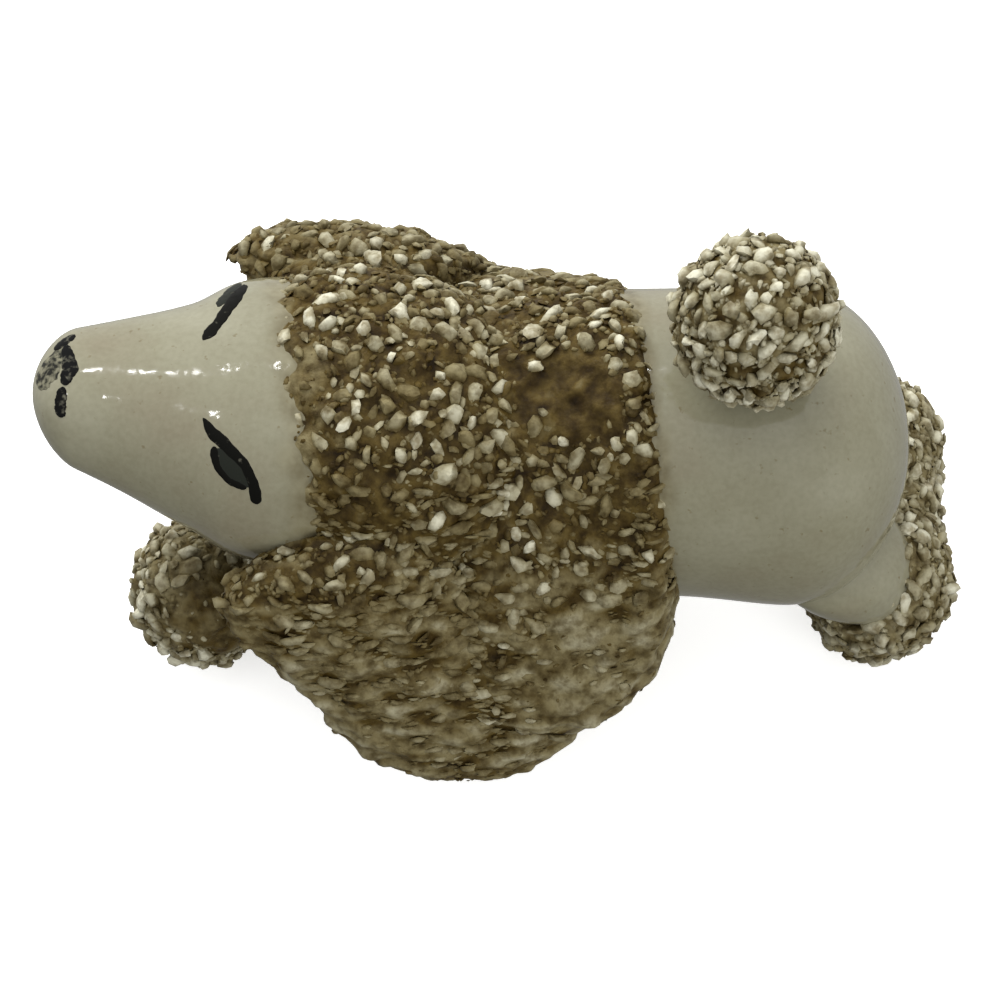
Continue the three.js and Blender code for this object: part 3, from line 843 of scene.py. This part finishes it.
def mane_keeps(points):
    """Leaves out the grains in the bare patch, and those that the topknot hides."""
    hidden = (19.6, TOPKNOT_HALF_WIDTH, TOPKNOT_HEIGHT)
    topknot = np.linalg.norm((points - (TOPKNOT_X[1], 0, TOPKNOT_MIDDLE)) / hidden, axis=1)
    speckle = 0.3 * ripple(points, 2.1)
    return (bare_distance(points) + speckle > 1.0) & (topknot > 0.9)


def cuff_smear(points):
    """The rubbed patch of the left front cuff, from 0 outside it to 1, with a rippled edge."""
    middle = np.array([FRONT_PAW[0], LEFT * FRONT_PAW[1], CUFF_MIDDLE])
    patch = unit(np.array([0.4, -0.74, 0.54]))
    return rise_between(unit(points - middle) @ patch + 0.1 * ripple(points, 4.0), 0.66, 0.84)


def half_keeps(side):
    """Keeps the grains on one side of the middle plane."""
    def keep(points):
        return side * points[:, 1] > MIDDLE_STRIP

    return keep


def slanted(angle):
    """The direction to the right, turned forward by an angle."""
    return np.array([-math.sin(angle), math.cos(angle), 0.0])


topknot_form = loft(
    shrunk([station(x, 0, TOPKNOT_MIDDLE, TOPKNOT_HALF_WIDTH, TOPKNOT_HEIGHT) for x in TOPKNOT_X]),
    (slanted(TOPKNOT_SLANT), Z), 0.5, 0.5, (14, 32))
mane_rear = station(MANE_END_X, MANE_LEAN, AXIS - 3.0, 20.2, 21.8, CHEST_DEPTH, 0.05)
mane_form = loft(
    shrunk(chest_stations(COAT) + [mane_rear]),
    (slanted(MANE_SLANT), Z), 0.2, 0.12, (20, 44))
POMPOM_RADIUS = TAIL_BALL_RADIUS + COAT
pompom_form = loft(shrunk([
    station(TAIL_BALL_X, 0, TAIL_BALL_Z + rise, POMPOM_RADIUS, POMPOM_RADIUS)
    for rise in (-POMPOM_RADIUS, 0, POMPOM_RADIUS)]), UPWARD, 0.5, 0.5, (12, 20))


def cuff_form(paw, side, ball, inside):
    """A cuff: a ball round the ankle with a flat underside, drawn out towards the middle plane."""
    x, out = paw

    def section(z, radius):
        reach = (inside * radius / ball, radius)
        up, down = reach if side == LEFT else reach[::-1]
        return station(x, side * out, z, radius, up, down)

    stations = [
        section(CUFF_CLEARANCE, CUFF_FOOT_RADIUS),
        section(CUFF_MIDDLE, ball),
        section(CUFF_MIDDLE + ball, ball)]
    return loft(shrunk(stations), UPWARD, 0.12, 0.5, (10, 16))


# A roll of slip and grit that fills the joint of the right ear with the topknot and the mane.
ear_joint_form = loft([
    station(-26.0, 16.4, AXIS + 5.4, 1.2, 1.2),
    station(-20.5, 16.7, AXIS + 7.7, 1.9, 1.9),
    station(-14.5, 16.6, AXIS + 8.3, 2.0, 2.0),
    station(-9.0, 16.9, AXIS + 7.6, 2.2, 2.2),
    station(-5.5, 18.2, AXIS + 5.2, 2.4, 2.4),
    station(-1.5, 21.0, AXIS + 1.6, 1.7, 1.7),
], REARWARD, 0.1, 0.1)
# Grit packed into the notch where the two hind cuffs meet.
CUFF_JOINT_X = HIND_PAW[0] + 2.2
cuff_joint_form = loft([
    station(CUFF_JOINT_X, 0, 2.4, 3.8, 4.6),
    station(CUFF_JOINT_X, 0, CUFF_MIDDLE, 5.3, 6.4),
    station(CUFF_JOINT_X, 0, 15.2, 3.8, 4.6),
], UPWARD, 0.3, 0.4)

# Look that the hind cuffs share with the grit between them.
HIND_CUFF_LOOK = {
    "spacing": 1.68, "length": 1.0, "comb": False, "pale": 0.14, "even": 0.45, "slip": 0.46,
    "proud": 0.27}
# Looks of the two ear coats, which the photograph shows in different tones.
EAR_PALE = {LEFT: -0.04, RIGHT: -0.06}
EAR_EVEN = {LEFT: 0.35, RIGHT: 0.25}
EAR_SLIP = {LEFT: 0.17, RIGHT: 0.24}
coat_piece("topknot_grit", "topknot_coat", topknot_form, seeded(3), smear=topknot_smear,
           smear_tone=0.5)
coat_piece("mane_grit", "mane_coat", mane_form, seeded(5), keep=mane_keeps, hollow=trough_hollow,
           smear=mane_smear, rows=120, columns=170)
# The tail ball's grains and slip are painted paler: partly their own whiter colour, partly painted light
# because the ball sits highest under the lamps.
coat_piece("pompom_grit", "tail_pompom", pompom_form, seeded(7), spacing=1.62, length=0.98,
           comb=False, pale=0.26, even=0.45, slip=0.32, proud=0.32)
for number, (word, side) in enumerate(SIDES):
    outer = EAR_THICKNESS + COAT - GRAIN_SINK
    ear = ear_form(side, outer, EAR_THICKNESS / 2, EAR_COAT_WIDER, (14, 20))
    coat_piece(f"{word}_ear_grit", f"{word}_ear_coat", ear, seeded(11 + number), smear=ear_smear,
               pale=EAR_PALE[side], even=EAR_EVEN[side], slip=EAR_SLIP[side])
    front = cuff_form(FRONT_PAW, side, FRONT_CUFF_RADIUS, FRONT_CUFF_RADIUS)
    rubbed = cuff_smear if side == LEFT else nowhere
    # The front cuffs' grains and slip are painted paler: partly their own colour, partly painted light
    # that lifts the shade the head casts over them.
    coat_piece(f"front_{word}_cuff_grit", f"front_{word}_cuff", front, seeded(21 + number), smear=rubbed,
               smear_tone=-0.14, comb=False, pale=0.24, even=0.3, slip=0.44, proud=0.25)
    hind = cuff_form(HIND_PAW, side, HIND_CUFF_RADIUS, HIND_CUFF_INSIDE)
    coat_piece(f"hind_{word}_cuff_grit", f"hind_{word}_cuff", hind, seeded(31 + number),
               keep=half_keeps(side), **HIND_CUFF_LOOK)
coat_piece("hind_cuff_joint_grit", None, cuff_joint_form, seeded(43), rows=40, columns=60,
           **HIND_CUFF_LOOK)
coat_piece("right_ear_joint_grit", None, ear_joint_form, seeded(41), even=0.25, slip=0.2,
           rows=60, columns=28)


# Stage, light and camera


def make_floor():
    """A wide pale floor, lit from below like a light table, that casts no light on the figure."""
    material, nodes, _ = new_material("pale_floor")
    shader = nodes["Principled BSDF"]
    shader.inputs["Base Color"].default_value = (0.92, 0.92, 0.91, 1.0)
    shader.inputs["Roughness"].default_value = 0.9
    shader.inputs["Emission Color"].default_value = (1.0, 1.0, 1.0, 1.0)
    shader.inputs["Emission Strength"].default_value = 0.6
    mesh = bpy.data.meshes.new("floor")
    reach = 3.0
    corners = [(-reach, -reach, 0), (reach, -reach, 0), (reach, reach, 0), (-reach, reach, 0)]
    mesh.from_pydata(corners, [], [(0, 1, 2, 3)])
    mesh.materials.append(material)
    floor = bpy.data.objects.new("floor", mesh)
    bpy.context.scene.collection.objects.link(floor)
    floor.visible_diffuse = False
    floor.visible_glossy = False


LIT_PLACE = (0.0, 0.0, 0.03)
WINDOWS_X = (-0.31, -0.19, -0.04)


def add_light(name, place, width, depth, power):
    """A soft rectangular light at a place in metres, turned to the figure."""
    data = bpy.data.lights.new(name, "AREA")
    data.shape = "RECTANGLE"
    data.size = width
    data.size_y = depth
    data.energy = power
    lamp = bpy.data.objects.new(name, data)
    lamp.location = place
    towards = np.subtract(LIT_PLACE, place)
    level = math.hypot(towards[0], towards[1])
    lamp.rotation_euler = (math.atan2(level, -towards[2]), 0, math.atan2(-towards[0], towards[1]))
    bpy.context.scene.collection.objects.link(lamp)
    return lamp


TILT = math.radians(27.0)
DISTANCE = 322.5
TARGET = np.array([0.0, -6.63, AXIS])


def make_camera():
    """The photograph's view: from above, leaning to the dog's left side."""
    data = bpy.data.cameras.new("camera")
    data.lens = 108.0
    data.sensor_width = 36.0
    data.clip_start = 0.01
    camera = bpy.data.objects.new("camera", data)
    camera.location = (TARGET + DISTANCE * np.array([0, -math.sin(TILT), math.cos(TILT)]) + SHIFT) * MM
    camera.rotation_euler = (TILT, 0, 0)
    bpy.context.scene.collection.objects.link(camera)
    bpy.context.scene.camera = camera


BRIGHTEST = (-0.15, 0.6, 0.79)


def make_room():
    """A white room that is brightest overhead and beyond the figure, and dims away from there: the light
    goes with the cosine between the brightest direction and the one it comes from."""
    world = bpy.data.worlds.new("studio")
    world.use_nodes = True
    nodes, links = world.node_tree.nodes, world.node_tree.links
    direction = nodes.new("ShaderNodeTexCoord")
    height = nodes.new("ShaderNodeVectorMath")
    height.operation = "DOT_PRODUCT"
    height.inputs[1].default_value = BRIGHTEST
    links.new(direction.outputs["Generated"], height.inputs[0])
    share = nodes.new("ShaderNodeMapRange")
    share.inputs["From Min"].default_value = -1.0
    links.new(height.outputs["Value"], share.inputs["Value"])
    white = ramp(
        nodes, links, share.outputs["Result"],
        (0.0, (0.17, 0.165, 0.155)), (0.45, (0.42, 0.42, 0.41)),
        (0.65, (0.67, 0.67, 0.66)), (1.0, (1, 1, 1)))
    links.new(white, nodes["Background"].inputs["Color"])
    nodes["Background"].inputs["Strength"].default_value = 1.1
    bpy.context.scene.world = world
    bpy.context.scene.view_settings.view_transform = "Standard"


make_floor()
for number, x in enumerate(WINDOWS_X):
    add_light(f"window_{number}", (x, 0.43, 0.85), 0.03, 0.04, 0.2)
add_light("lamp", (-0.28, -0.06, 0.94), 0.04, 0.03, 0.15)
add_light("overhead", (-0.4, 0.9, 0.7), 0.9, 0.8, 13.5).visible_glossy = False
add_light("fill", (0.7, -0.8, 0.4), 0.6, 0.6, 5.6).visible_glossy = False
make_room()
make_camera()
